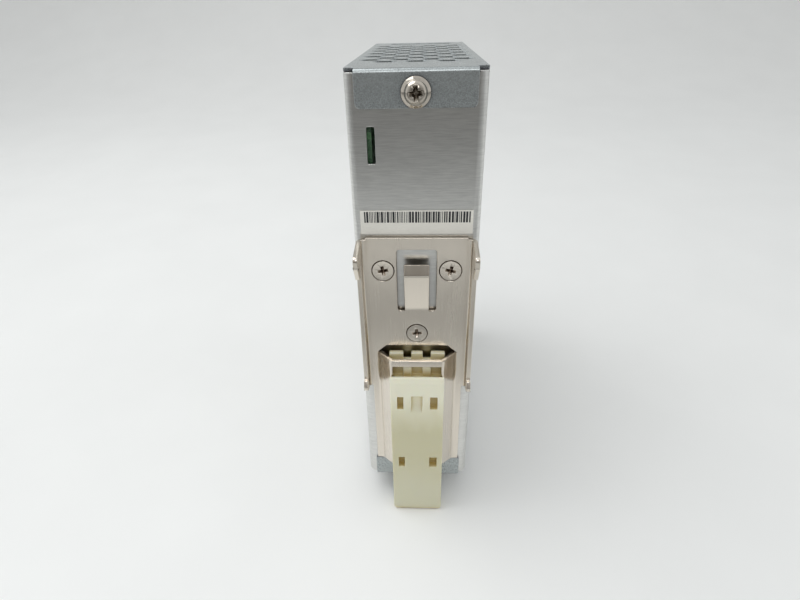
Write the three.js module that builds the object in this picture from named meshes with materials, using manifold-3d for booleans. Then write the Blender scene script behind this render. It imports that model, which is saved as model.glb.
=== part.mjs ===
// DIN rail power supply, in millimetres.
// X runs across the narrow case, +Y runs from the rail to the front panel, and +Z is up.
// The origin is on the rail-side face of the bracket, on the centre line of the rail.

import * as THREE from "three";
import { mergeVertices } from "three/addons/utils/BufferGeometryUtils.js";
import Module from "manifold-3d";

const wasm = await Module();
wasm.setup();

// ---------------------------------------------------------------- driving dimensions

// Case
const CASE_WIDTH = 32;
const CASE_HEIGHT = 125.2;
const CASE_DEPTH = 92;
const HOUSING_SHEET = 1;
const HOUSING_CORNER = 2;
const CAP_SHEET = 0.8;
const CAP_BEND = 0.25;
const FLAP_HEIGHT = 8.2;
const FLAP_INSET = 2.4;
const CAP_CORNER_RELIEF = 2.1;
const FLAP_CORNER = 1.2;
const FRONT_LIP = 3.5;
const PANEL_TAB = { reach: 11, half: 7 };
const SEAT = 0.05; // air left between sheets that lie on each other

// Vents in the caps
const VENT_PITCH_X = 7.7;
const VENT_PITCH_Y = 5.2;
const VENT_LENGTH = 6.2;
const VENT_FLAT = 3.2;
const VENT_WIDTH = 4.2;
const VENT_START = 15;
const VENT_EDGE = 1.6;
const VENT_TO_SLOT = 5.5;

// Wire slots in the caps
const SLOT_LENGTH = 21.4;
const SLOT_WIDTH = 4.5;
const SLOT_SETBACK = 5;
const TERMINAL_X = 0.6;

// Slot in the rail-side wall that shows the board's edge; inset is from the board's back to the slot's middle
const SIGHT_SLOT = { inset: 1.55, z: 46.2, width: 1.9, height: 8.4, corner: 0.3 };

// Label on the rail-side wall, above the bracket
const LABEL = { margin: 2, lift: 0.75, height: 6.2, thickness: 0.1 };

// Rail bracket
const PLATE_SHEET = 1.2;
const PLATE_TOP = 23.7;
const PLATE_BOTTOM = -54;
const PLATE_MARGIN = 1.9; // flat metal left beside the channel
const FLANGE_STEP = 2.25; // from the flat metal to the outside of the side flange
const FLANGE_SHEET = 1.2;
const FLANGE_BEND = 0.65;
const FLANGE_TOP = 23.2;
const EAR_REACH = 8.75;
const LOWER_EAR_REACH = 5.15;
const LOWER_EAR_TOP = -18.8;
const LOWER_EAR_BOTTOM = -23.6;
const TAB_WIDTH = 6.5;
const TAB_CUT = { halfWidth: 5.2, bottom: 2.4, top: 20.5, corner: 0.8 };
const TAB_LIFT = 2.9;

// The 35 mm rail that the bracket grips
const RAIL_HALF = 17.5;
const RAIL_SHEET = 1;
const RAIL_CLEARANCE = 0.25;
const RAIL_SEAT = 3.25; // the flange edges that the rail's lips rest on, in front of the plate
const HOOK_OVERLAP = 2.5;

// Channel pressed out of the bracket for the slider
const CHANNEL_TOP = -11.3;
const CHANNEL_FRONT_HALF = 7.35;
const CHANNEL_BASE_HALF = 11.1;
const CHANNEL_RISE = 4.65;
const BRIDGE_HEIGHT = 1.95;
const OPENING_TOP = -9.1;
const OPENING_CHAMFER = 2.4;
const STRAP_TOP = -45;
const LUG_HALF_WIDTH = 1.2;
const LUG_REACH = 2.6;
const LUG_HEIGHT = 1;

// Slider
const SLIDER_HALF = 7.7;
const SLIDER_TOP = -16.4;
const SLIDER_BOTTOM = -71;
const SLIDER_PLATE = 1.1;
const SLIDER_CLEARANCE = 0.25;
const PAD_TOP = -10.6;
const POST_IN = 1.6;
const POST_OUT = 3.9;
const WINDOW_DEPTH = 2.2;
const WINDOWS = [ // blind windows in the slider's face: left, right, bottom, top
  [-5.75, -3.95, -27.6, -23.1],
  [3.8, 5.95, -27.6, -23.1],
  [-5.75, -3.9, -51.2, -47.2],
  [3.75, 6.05, -51.2, -47.2],
];
const RAMP = { left: -1.7, right: 1.6, top: -22.7, floor: -26.5, bottom: -30.5, depth: 1 };
const FOOT_CORNER = 1.4;
const GUIDE_IN = 3.7;

// Slider spring
const SPRING_RADIUS = 1.05;
const SPRING_WIRE = 0.18;
const SPRING_TURNS = 10;
const SPRING_TOP = -24;

// Screws
const BRACKET_SCREW = { head: 2.8, shank: 1.5, length: 5, spread: 8.8, upper: 14.5, lower: -5 };
const CAP_SCREW = { flange: 3.35, dome: 2.6, height: 2.25, shank: 1.5, length: 5, fromEdge: 4.9 };
const HOLE_CLEARANCE = 0.1;
const HEAD_CLEARANCE = 0.25; // round a countersunk head
const BRACKET_RECESS = { reach: 1.4, depth: 1.2 };
const CAP_RECESS = { reach: 1.95, depth: 1.5 };
const RECESS_BLADE = 0.3; // thickness of a recess's blade as a share of its length
const RECESS_TAPER = 0.35; // length at the bottom of the recess as a share of that at the face

// Circuit board
const BOARD_SHEET = 1.6;
const SOLDER_SPACE = 3;
const BOARD_GAP = 0.8;
const BOARD_END_GAP = 1.2;
const PART_GAP = 0.1; // air between a component and the board it is soldered to
const ROOF_GAP = 1.2; // least air between a component and the far side wall

// Terminal blocks
const BLOCK_WIDTH = 20.9;
const BLOCK_DEPTH = 14;
const BLOCK_HEIGHT = 14;
const BLOCK_CAP_GAP = 0.3;
const TERMINAL_SCREW = { head: 1.8, headHeight: 1.4, shank: 1.25, length: 7 };
const CLAMP = { size: 3.7, thickness: 0.9, travel: 3 };
const CONTACT = { thickness: 1, wireSpace: 4.8, tail: 0.8 };
const OUTPUT = { poles: 4, pitch: 5.08 };
const INPUT = { poles: 3, pitch: 6.4 };

// Parts that show through the front panel; x is from the board's face
const LED = { x: 4.4, z: 28, radius: 1.5, rim: 1.8, length: 6.4, proud: 0.7 };
const TRIMMER = { x: 3.6, z: 38, half: 3.4, rotor: 2.4, depth: 7, setback: 1.2 };

// Parts on the board. Their places and sizes are given for a board with this layout, and follow the real
// board in proportion: start is its rail-side edge, tails the row of terminal tails, half its half height
// and room the space over it. A size is called high along X, long along Y and wide along Z.
const LAYOUT = { start: 3.05, tails: 76.4, half: 59.6, room: 24.1 };
const POSTS = [{ y: 10, z: -50 }, { y: 72, z: 44 }];
const TRANSFORMER = { y: 32, z: 14, high: 22.1, long: 30, wide: 12, coilLong: 21.6, coilWide: 23, leg: 8.4 };
const X_CAPACITOR = { y: 37, z: -51.5, high: 19, long: 26, wide: 11 };
const FUSE = { y: 54, z: -54, radius: 2.7, long: 20 };
const THERMISTOR = { y: 17, z: -54, radius: 5.5, wide: 4 };
const LINE_CHOKE = { y: 66, z: -36, outer: 10, inner: 4.5, high: 11, turns: 14 };
const BRIDGE_RECTIFIER = { y: 45, z: -38, high: 17, long: 20, wide: 4 };
const PRIMARY_SINK = { y: 17, z: -34, long: 24, fold: -1 };
const BULK_CAPACITOR = { y: 6, z: -14.5, radius: 10.5, long: 38 };
const OPTOCOUPLER = { y: 60, z: 0, high: 3.6, long: 4.6, wide: 6.4 };
const OUTPUT_CHOKE = { y: 66, z: 15, outer: 9, inner: 4, high: 10, turns: 12 };
const SECONDARY_SINK = { y: 20, z: 37, long: 28, fold: 1 };
const OUTPUT_CAPACITORS = [{ y: 48, z: 40 }, { y: 48, z: 52 }];
const CAN = { radius: 5, high: 20 };
const SINK = { high: 21, sheet: 2, lip: 5 };
const POWER_DEVICE = { start: 4, high: 9, tag: 6, half: 5, thick: 4.4, tagThick: 1.3, pitch: 2.54, leg: 0.4 };

// ---------------------------------------------------------------- derived places

const halfWidth = CASE_WIDTH / 2;
const topZ = CASE_HEIGHT / 2;
const wallY = PLATE_SHEET + SEAT;
const innerY = wallY + HOUSING_SHEET;
const frontY = wallY + CASE_DEPTH;
const flapY = wallY - SEAT - CAP_SHEET;
const capZ = topZ - CAP_SHEET;
const panelY = frontY - CAP_SHEET - SEAT - CAP_SHEET;
const flapHalf = halfWidth - FLAP_INSET;
const flapScrewZ = topZ - CAP_SCREW.fromEdge;
const boardX = -halfWidth + HOUSING_SHEET + SOLDER_SPACE;
const boardFace = boardX + BOARD_SHEET;
const boardStart = innerY + BOARD_GAP;
const boardEnd = panelY - BOARD_GAP;
const boardHalf = capZ - BOARD_END_GAP - 1;
const componentX = boardFace + PART_GAP;
const roomX = halfWidth - HOUSING_SHEET - ROOF_GAP - componentX;
const sightX = boardX + SIGHT_SLOT.inset;
const plateHalf = CHANNEL_BASE_HALF + PLATE_MARGIN;
const flangeOuter = plateHalf + FLANGE_STEP;
const bendOuter = FLANGE_BEND + FLANGE_SHEET;
const slope = new THREE.Vector2(CHANNEL_BASE_HALF - CHANNEL_FRONT_HALF, CHANNEL_RISE).normalize();

// Slider
const sliderBack = -SLIDER_CLEARANCE;
const plateBack = -CHANNEL_RISE - SLIDER_CLEARANCE * 0.6;
const lugBottom = STRAP_TOP - 0.5;
const lugTop = lugBottom + LUG_HEIGHT;
const pocketBottom = lugBottom - 0.1;
const sliderBaseBottom = pocketBottom - 1.5;
const webTop = -RAIL_HALF - RAIL_CLEARANCE;

// Terminal blocks
const blockFront = frontY - CAP_SHEET - 0.25;
const blockOuter = capZ - BLOCK_CAP_GAP;
const blockInner = blockOuter - BLOCK_DEPTH;
const poleZ = blockInner + BLOCK_DEPTH / 2;
const chamberFront = blockFront - TERMINAL_SCREW.headHeight - 0.85;
const clampFront = chamberFront - SEAT;
const clampBack = clampFront - CLAMP.thickness;
const contactFront = clampBack - CONTACT.wireSpace + 0.1;
const contactBack = contactFront - CONTACT.thickness;
const shankHole = TERMINAL_SCREW.shank + HOLE_CLEARANCE;
const screwTip = clampFront - TERMINAL_SCREW.length;
const boreBack = screwTip - CLAMP.travel - 0.4;
const blockBack = Math.min(blockFront - BLOCK_HEIGHT, boreBack - 0.8);
const tailY = blockBack - 1.8;
const TAIL_OFFSETS = [3.6, 2.3, -2.3, -3.6];

// Proportion of the real board to the layout
const stretchX = roomX / LAYOUT.room;
const stretchY = (tailY - boardStart) / (LAYOUT.tails - LAYOUT.start);
const stretchZ = boardHalf / LAYOUT.half;
const stretchRound = Math.min(stretchX, stretchY, stretchZ);
const placeY = (y) => boardStart + (y - LAYOUT.start) * stretchY;
const placeZ = (z) => z * stretchZ;

// ---------------------------------------------------------------- materials

function metal(color, roughness = 0.35) {
  return { color, roughness, metalness: 0.9 };
}

function dull(color, roughness = 0.6) {
  return { color, roughness, metalness: 0 };
}

const LOOKS = {
  brushedAluminium: metal("#a2a29d", 0.38),
  galvanised: metal("#9aa1a2", 0.42),
  nickel: metal("#b3aca2", 0.25),
  zincScrew: metal("#c9c2ad", 0.22),
  springSteel: metal("#8d8f90", 0.3),
  nylon: dull("#d8d7bd", 0.45),
  paper: dull("#d6d5cb", 0.7),
  film: dull("#e6e3cf", 0.3),
  board: dull("#2f6b45", 0.45),
  blackPlastic: dull("#1d1e1f", 0.5),
  tinnedBrass: metal("#c8c5b8", 0.3),
  ferrite: dull("#3a3b3d", 0.7),
  windingTape: dull("#d8b52e", 0.4),
  copper: metal("#a85a2c", 0.35),
  capacitorSleeve: dull("#22262b", 0.4),
  yellowBox: dull("#d3a92b", 0.5),
  ceramic: dull("#e3ded0", 0.6),
  thermistorDisc: dull("#2c4a35", 0.55),
  sinkAluminium: metal("#b9bbbc", 0.45),
  greenLens: dull("#58b368", 0.25),
  blueTrimmer: dull("#2b5fa3", 0.4),
  whiteRotor: dull("#e9e7dd", 0.45),
};

// ---------------------------------------------------------------- shapes

const group = new THREE.Group();
const ARC_STEPS = 4;
const ROUND = 28;

// A closed mesh becomes a solid once the vertices of its faces are shared.
function solid(geometry) {
  const bare = geometry.clone();
  bare.deleteAttribute("normal");
  bare.deleteAttribute("uv");
  const merged = mergeVertices(bare, 1e-5);
  const mesh = new wasm.Mesh({
    numProp: 3,
    vertProperties: Float32Array.from(merged.attributes.position.array),
    triVerts: Uint32Array.from(merged.index.array),
  });
  return new wasm.Manifold(mesh);
}

function geometryOf(manifold) {
  const mesh = manifold.getMesh();
  const geometry = new THREE.BufferGeometry();
  geometry.setAttribute("position", new THREE.BufferAttribute(Float32Array.from(mesh.vertProperties), 3));
  geometry.setIndex(new THREE.BufferAttribute(Uint32Array.from(mesh.triVerts), 1));
  geometry.computeVertexNormals();
  return geometry;
}

function join(...pieces) {
  return pieces.reduce((whole, piece) => whole.add(piece));
}

function cut(piece, ...tools) {
  return tools.reduce((rest, tool) => rest.subtract(tool), piece);
}

function addPart(name, manifold, look) {
  const mesh = new THREE.Mesh(geometryOf(manifold), new THREE.MeshStandardMaterial(look));
  mesh.name = name;
  group.add(mesh);
}

function box(x0, x1, y0, y1, z0, z1) {
  const geometry = new THREE.BoxGeometry(Math.abs(x1 - x0), Math.abs(y1 - y0), Math.abs(z1 - z0));
  geometry.translate((x0 + x1) / 2, (y0 + y1) / 2, (z0 + z1) / 2);
  return solid(geometry);
}

// An outline from corners [a, b, radius]; a corner with a radius is rounded with an arc.
function outline(corners) {
  const points = [];
  corners.forEach(([a, b, radius = 0], index) => {
    const corner = new THREE.Vector2(a, b);
    if (radius === 0) {
      points.push(corner);
      return;
    }
    const before = new THREE.Vector2(...corners.at(index - 1)).sub(corner).normalize();
    const after = new THREE.Vector2(...corners[(index + 1) % corners.length]).sub(corner).normalize();
    const half = Math.acos(before.dot(after)) / 2;
    const centre = before.clone().add(after).normalize().multiplyScalar(radius / Math.sin(half)).add(corner);
    const reach = radius / Math.tan(half);
    const from = before.multiplyScalar(reach).add(corner).sub(centre);
    const to = after.multiplyScalar(reach).add(corner).sub(centre);
    const sweep = Math.atan2(from.cross(to), from.dot(to));
    for (let step = 0; step <= ARC_STEPS; step += 1) {
      const turned = from.clone().rotateAround(new THREE.Vector2(), (sweep * step) / ARC_STEPS);
      points.push(turned.add(centre));
    }
  });
  return new THREE.Shape(points);
}

function extrude(corners, depth, basis, place) {
  const geometry = new THREE.ExtrudeGeometry(outline(corners), { depth, bevelEnabled: false });
  geometry.applyMatrix4(new THREE.Matrix4().makeBasis(...basis));
  geometry.translate(...place);
  return solid(geometry);
}

const X = new THREE.Vector3(1, 0, 0);
const Y = new THREE.Vector3(0, 1, 0);
const Z = new THREE.Vector3(0, 0, 1);
const MINUS_Y = new THREE.Vector3(0, -1, 0);

// Prisms along each axis: corners are [y, z], [x, z] and [x, y].
const prismX = (corners, x0, x1) => extrude(corners, x1 - x0, [Y, Z, X], [x0, 0, 0]);
const prismY = (corners, y0, y1) => extrude(corners, y1 - y0, [X, Z, MINUS_Y], [0, y1, 0]);
const prismZ = (corners, z0, z1) => extrude(corners, z1 - z0, [X, Y, Z], [0, 0, z0]);

// A turned shape: the profile is [radius, height] from the axis out and back to it.
function turned(profile, axis, place, segments = ROUND) {
  const points = profile.map(([radius, height]) => new THREE.Vector2(radius, height));
  const geometry = new THREE.LatheGeometry(points, segments);
  geometry.applyQuaternion(new THREE.Quaternion().setFromUnitVectors(Y, axis));
  geometry.translate(...place);
  return solid(geometry);
}

function cylinder(radius, length, axis, place, segments = ROUND) {
  return turned([[0, 0], [radius, 0], [radius, length], [0, length]], axis, place, segments);
}

function rectangle(a0, a1, b0, b1, radius = 0) {
  return [[a0, b0, radius], [a1, b0, radius], [a1, b1, radius], [a0, b1, radius]];
}

// The blades of a cross recess, tapering into a head whose face is at y.
function crossRecess(x, y, z, { reach, depth }, turn) {
  const corner = reach * Math.SQRT2;
  const blades = [0, 1].map((quarter) => {
    const geometry = new THREE.CylinderGeometry(corner, corner * RECESS_TAPER, depth, 4, 1);
    geometry.rotateY(Math.PI / 4);
    geometry.scale(1, 1, RECESS_BLADE);
    geometry.rotateY(turn + (quarter * Math.PI) / 2);
    geometry.rotateX(Math.PI);
    geometry.translate(x, y + depth / 2 - 0.02, z);
    return solid(geometry);
  });
  return join(...blades);
}

// ---------------------------------------------------------------- case

function makeHousing() {
  const side = halfWidth - HOUSING_SHEET;
  const inner = HOUSING_CORNER - HOUSING_SHEET;
  const end = panelY - SEAT;
  const section = [
    [-halfWidth, end],
    [-halfWidth, wallY, HOUSING_CORNER],
    [halfWidth, wallY, HOUSING_CORNER],
    [halfWidth, end],
    [side, end],
    [side, innerY, inner],
    [-side, innerY, inner],
    [-side, end],
  ];
  const wall = prismZ(section, -capZ + SEAT, capZ - SEAT);
  const screwHole = (x, z, radius) => cylinder(radius, 4, Y, [x, wallY - 1, z], 20);
  const bracketHole = BRACKET_SCREW.shank + HOLE_CLEARANCE;
  const capHole = CAP_SCREW.shank + HOLE_CLEARANCE;
  const { z, width, height, corner } = SIGHT_SLOT;
  const slot = prismY(
    rectangle(sightX - width / 2, sightX + width / 2, z - height / 2, z + height / 2, corner),
    wallY - 1,
    innerY + 1,
  );
  // The wall stops short of the bend between each cap and its flap.
  const bendHalf = flapHalf + 0.1;
  const bendRooms = [-1, 1].map((up) =>
    box(-bendHalf, bendHalf, wallY - 1, wallY + CAP_BEND, up * (capZ - CAP_BEND - SEAT), up * topZ),
  );
  return cut(
    wall,
    slot,
    ...bendRooms,
    screwHole(-BRACKET_SCREW.spread, BRACKET_SCREW.upper, bracketHole),
    screwHole(BRACKET_SCREW.spread, BRACKET_SCREW.upper, bracketHole),
    screwHole(0, BRACKET_SCREW.lower, bracketHole),
    screwHole(0, flapScrewZ, capHole),
    screwHole(0, -flapScrewZ, capHole),
  );
}

function ventHole(x, y, low, high) {
  const limit = halfWidth - VENT_EDGE;
  const halfLength = VENT_LENGTH / 2;
  const halfFlat = VENT_FLAT / 2;
  const half = VENT_WIDTH / 2;
  const corners = [
    [x - halfLength, y],
    [x - halfFlat, y - half],
    [x + halfFlat, y - half],
    [x + halfLength, y],
    [x + halfFlat, y + half],
    [x - halfFlat, y + half],
  ];
  const hole = prismZ(corners, low, high);
  if (Math.abs(x) + halfLength <= limit) return hole;
  return hole.intersect(box(-limit, limit, y - half, y + half, low, high));
}

// Rows of three holes and rows of four take turns, and end short of the wire slot.
function ventHoles(low, high) {
  const holes = [];
  const start = wallY + VENT_START;
  const stop = frontY - SLOT_SETBACK - SLOT_WIDTH - VENT_TO_SLOT;
  const rows = Math.floor((stop - start) / VENT_PITCH_Y) + 1;
  const perSide = Math.max(1, Math.floor((halfWidth - VENT_EDGE - VENT_LENGTH / 2) / VENT_PITCH_X));
  for (let row = 0; row < rows; row += 1) {
    const shift = row % 2 === 0 ? 0 : VENT_PITCH_X / 2;
    for (let column = -perSide - 1; column <= perSide; column += 1) {
      const x = column * VENT_PITCH_X + shift;
      const inside = Math.abs(x) + VENT_FLAT / 2 < halfWidth - VENT_EDGE;
      if (inside) holes.push(ventHole(x, start + row * VENT_PITCH_Y, low, high));
    }
  }
  return join(...holes);
}

// The caps mirror each other: up is 1 for the top one and -1 for the bottom one.
function makeCap(up) {
  const at = (z) => up * z;
  const bend = CAP_BEND + CAP_SHEET;
  const profile = [
    [flapY, at(topZ - FLAP_HEIGHT)],
    [flapY, at(topZ), bend],
    [frontY, at(topZ), bend],
    [frontY, at(topZ - FRONT_LIP)],
    [frontY - CAP_SHEET, at(topZ - FRONT_LIP)],
    [frontY - CAP_SHEET, at(capZ), CAP_BEND],
    [flapY + CAP_SHEET, at(capZ), CAP_BEND],
    [flapY + CAP_SHEET, at(topZ - FLAP_HEIGHT)],
  ];
  const sheet = prismX(profile, -halfWidth, halfWidth);
  const low = Math.min(at(capZ - 1), at(topZ + 1));
  const high = Math.max(at(capZ - 1), at(topZ + 1));
  const edge = at(topZ - FLAP_HEIGHT - 1);
  const reliefEnd = flapY + CAP_SHEET + CAP_CORNER_RELIEF;
  const reliefs = [-1, 1].map((side) =>
    box(side * flapHalf, side * (halfWidth + 1), flapY - 1, reliefEnd, edge, at(topZ + 1)),
  );
  const corners = [-1, 1].map((side) => flapCorner(side, up));
  const slotY = frontY - SLOT_SETBACK;
  const slotHalf = SLOT_LENGTH / 2;
  const slot = prismZ(
    rectangle(TERMINAL_X - slotHalf, TERMINAL_X + slotHalf, slotY - SLOT_WIDTH, slotY, 0.5),
    low,
    high,
  );
  const hole = CAP_SCREW.shank + HOLE_CLEARANCE;
  const screwSlot = join(
    cylinder(hole, 3, Y, [0, flapY - 1, at(flapScrewZ)], 20),
    box(-hole, hole, flapY - 1, flapY + 2, at(flapScrewZ), edge),
  );
  return cut(sheet, ...reliefs, ...corners, slot, screwSlot, ventHoles(low, high));
}

// What rounding takes off a sheet's corner at x, z; side and up point out of the corner's two edges.
function cornerTool(x, z, side, up, radius, steps, y0, y1) {
  const corners = [[x + side, z - up], [x + side, z + up * radius], [x, z + up * radius]];
  for (let step = 1; step < steps; step += 1) {
    const angle = (Math.PI / 2) * (step / steps);
    corners.push([
      x - side * radius * (1 - Math.cos(angle)),
      z + up * radius * (1 - Math.sin(angle)),
    ]);
  }
  corners.push([x - side * radius, z], [x - side * radius, z - up]);
  return prismY(corners, y0, y1);
}

function flapCorner(side, up) {
  const z = up * (topZ - FLAP_HEIGHT);
  return cornerTool(side * flapHalf, z, side, up, FLAP_CORNER, 6, flapY - 1, flapY + CAP_SHEET + 0.5);
}

function makeFrontPanel() {
  const height = capZ - CAP_BEND - SEAT;
  const plate = box(-halfWidth, halfWidth, panelY, panelY + CAP_SHEET, -height, height);
  const side = halfWidth - HOUSING_SHEET - SEAT;
  const { reach, half } = PANEL_TAB;
  const tabs = [-1, 1].map((way) =>
    box(way * side, way * (side - CAP_SHEET), panelY - reach, panelY + CAP_SHEET / 2, -half, half),
  );
  const room = 0.3;
  const halfBlock = BLOCK_WIDTH / 2 + room;
  const near = blockInner - room;
  const windows = [-1, 1].map((up) =>
    box(TERMINAL_X - halfBlock, TERMINAL_X + halfBlock, panelY - 1, frontY, up * near, up * topZ),
  );
  const hole = (part, radius) =>
    cylinder(radius, 4, Y, [boardFace + part.x, panelY - 2, placeZ(part.z)], 24);
  return cut(
    join(plate, ...tabs),
    ...windows,
    hole(LED, LED.radius + 0.2),
    hole(TRIMMER, TRIMMER.rotor + 0.4),
  );
}

// Pan head screw with a flange: its face points to the rail.
function makeCapScrew(z) {
  const { flange, dome, height, shank, length } = CAP_SCREW;
  const seat = flapY - SEAT;
  const profile = [
    [0, 0],
    [shank, 0],
    [shank, length],
    [flange, length],
    [flange, length + 0.35],
    [dome, length + 0.85],
    [dome * 0.94, length + 1.3],
    [dome * 0.72, length + 1.9],
    [dome * 0.4, length + 2.2],
    [0, length + height],
  ];
  const body = turned(profile, MINUS_Y, [0, seat + length, z]);
  return cut(body, crossRecess(0, seat - height, z, CAP_RECESS, 0.1));
}

// Countersunk screw, flush with the bracket's face.
function makeBracketScrew(x, z, turn) {
  const { head, shank, length } = BRACKET_SCREW;
  const rim = 0.25;
  const profile = [
    [0, 0],
    [shank, 0],
    [shank, length - PLATE_SHEET + SEAT],
    [head, length - rim],
    [head, length],
    [0, length],
  ];
  const body = turned(profile, MINUS_Y, [x, length, z], 24);
  return cut(body, crossRecess(x, 0, z, BRACKET_RECESS, turn));
}

// ---------------------------------------------------------------- rail bracket

// Half width of the channel's inner face at a given y.
function channelInner(y, clearance = 0) {
  const shift = (PLATE_SHEET + clearance) / slope.y;
  return CHANNEL_BASE_HALF + (y * slope.x) / slope.y - shift;
}

function makeBracket() {
  const plate = prismY(
    rectangle(-plateHalf, plateHalf, PLATE_BOTTOM, PLATE_TOP),
    0,
    PLATE_SHEET,
  );
  const opening = prismY(
    [
      [-CHANNEL_BASE_HALF, PLATE_BOTTOM - 1],
      [CHANNEL_BASE_HALF, PLATE_BOTTOM - 1],
      [CHANNEL_BASE_HALF, CHANNEL_TOP],
      [CHANNEL_BASE_HALF - OPENING_CHAMFER, OPENING_TOP],
      [OPENING_CHAMFER - CHANNEL_BASE_HALF, OPENING_TOP],
      [-CHANNEL_BASE_HALF, CHANNEL_TOP],
    ],
    -1,
    PLATE_SHEET + 1,
  );
  const inner = CHANNEL_RISE - PLATE_SHEET;
  const channel = prismZ(
    [
      [-plateHalf, 0],
      [-CHANNEL_BASE_HALF, 0, 1.2],
      [-CHANNEL_FRONT_HALF, -CHANNEL_RISE, 1.4],
      [CHANNEL_FRONT_HALF, -CHANNEL_RISE, 1.4],
      [CHANNEL_BASE_HALF, 0, 1.2],
      [plateHalf, 0],
      [plateHalf, PLATE_SHEET],
      [channelInner(PLATE_SHEET), PLATE_SHEET, 1.6],
      [channelInner(-inner), -inner, 0.4],
      [-channelInner(-inner), -inner, 0.4],
      [-channelInner(PLATE_SHEET), PLATE_SHEET, 1.6],
      [-plateHalf, PLATE_SHEET],
    ],
    PLATE_BOTTOM,
    CHANNEL_TOP,
  );
  const window = SLIDER_HALF - 0.85;
  const bridgeBottom = CHANNEL_TOP - BRIDGE_HEIGHT;
  const front = box(-window, window, -CHANNEL_RISE - 1, -inner + 0.8, PLATE_BOTTOM - 1, bridgeBottom);
  const strap = box(-CHANNEL_BASE_HALF, CHANNEL_BASE_HALF, 0, PLATE_SHEET, PLATE_BOTTOM, STRAP_TOP);
  const lug = box(-LUG_HALF_WIDTH, LUG_HALF_WIDTH, -LUG_REACH, PLATE_SHEET, lugBottom, lugTop);
  const lugRoot = box(-LUG_HALF_WIDTH, LUG_HALF_WIDTH, 0, PLATE_SHEET, STRAP_TOP - 1, lugTop);
  const slopedEnd = prismX(
    [[PLATE_SHEET + 1, PLATE_BOTTOM - 2], [PLATE_SHEET + 1, PLATE_BOTTOM], [0, PLATE_BOTTOM],
      [-CHANNEL_RISE - 1, PLATE_BOTTOM + 2], [-CHANNEL_RISE - 1, PLATE_BOTTOM - 2]],
    -CHANNEL_BASE_HALF - 1,
    CHANNEL_BASE_HALF + 1,
  );
  const cutOut = prismY(
    rectangle(-TAB_CUT.halfWidth, TAB_CUT.halfWidth, TAB_CUT.bottom, TAB_CUT.top, TAB_CUT.corner),
    -1,
    PLATE_SHEET + 1,
  );
  const flat = join(cut(plate, opening, cutOut), cut(channel, front), strap, lugRoot, lug, makeTab());
  const { spread, upper, lower } = BRACKET_SCREW;
  const body = join(flat, makeFlange(-1), makeFlange(1));
  return cut(body, slopedEnd, countersink(-spread, upper), countersink(spread, upper), countersink(0, lower));
}

// One side flange with its upper hook and lower ear; the rail's lips rest on its front edge.
function makeFlange(side) {
  const inner = flangeOuter - FLANGE_SHEET;
  const section = [
    [side * (plateHalf - 0.6), 0],
    [side * inner, 0, FLANGE_BEND],
    [side * inner, -EAR_REACH - 1],
    [side * flangeOuter, -EAR_REACH - 1],
    [side * flangeOuter, PLATE_SHEET, bendOuter],
    [side * (plateHalf - 0.6), PLATE_SHEET],
  ];
  const bent = prismZ(section, LOWER_EAR_BOTTOM, FLANGE_TOP);
  const tipBack = RAIL_SEAT + RAIL_SHEET + RAIL_CLEARANCE;
  const slotTop = RAIL_HALF + RAIL_CLEARANCE;
  const tip = RAIL_HALF - HOOK_OVERLAP;
  const profile = [
    [PLATE_SHEET + 1, FLANGE_TOP],
    [-1.5, FLANGE_TOP, 4],
    [-EAR_REACH, FLANGE_TOP - 1.2, 1.2],
    [-EAR_REACH, tip + 4.2, 1.5],
    [-tipBack - 1.5, tip, 0.3],
    [-tipBack, tip, 0.3],
    [-tipBack, slotTop, 0.3],
    [-RAIL_SEAT, slotTop],
    [-RAIL_SEAT, LOWER_EAR_TOP, 0.3],
    [-RAIL_SEAT - 0.9, LOWER_EAR_TOP, 0.4],
    [-LOWER_EAR_REACH, LOWER_EAR_TOP - 1.6, 0.6],
    [-LOWER_EAR_REACH, LOWER_EAR_TOP - 2.8, 0.7],
    [-0.8, LOWER_EAR_BOTTOM, 0.5],
    [PLATE_SHEET + 1, LOWER_EAR_BOTTOM],
  ];
  return bent.intersect(prismX(profile, -flangeOuter - 1, flangeOuter + 1));
}

// The sprung tab leans out of its cut-out, and its free end bends back.
function makeTab() {
  const root = TAB_CUT.bottom - 1;
  const sheet = PLATE_SHEET * 0.85;
  const profile = [
    [0, root],
    [0, root + 1.6, 5],
    [-TAB_LIFT, 14.4, 1.6],
    [-TAB_LIFT + 1.1, 17.1],
    [-TAB_LIFT + 1.1 + sheet, 16.8],
    [-TAB_LIFT + sheet, 14.3, 0.6],
    [sheet, root + 1.9, 4],
    [PLATE_SHEET, root],
  ];
  return prismX(profile, -TAB_WIDTH / 2, TAB_WIDTH / 2);
}

function countersink(x, z) {
  const { head, shank } = BRACKET_SCREW;
  const rim = 0.3;
  const outer = head + HEAD_CLEARANCE;
  const hole = shank + HOLE_CLEARANCE;
  const profile = [
    [0, -1],
    [outer, -1],
    [outer, rim],
    [hole, PLATE_SHEET],
    [hole, PLATE_SHEET + 1],
    [0, PLATE_SHEET + 1],
  ];
  return turned(profile, Y, [x, 0, z], 24);
}

// ---------------------------------------------------------------- slider and its spring

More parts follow.
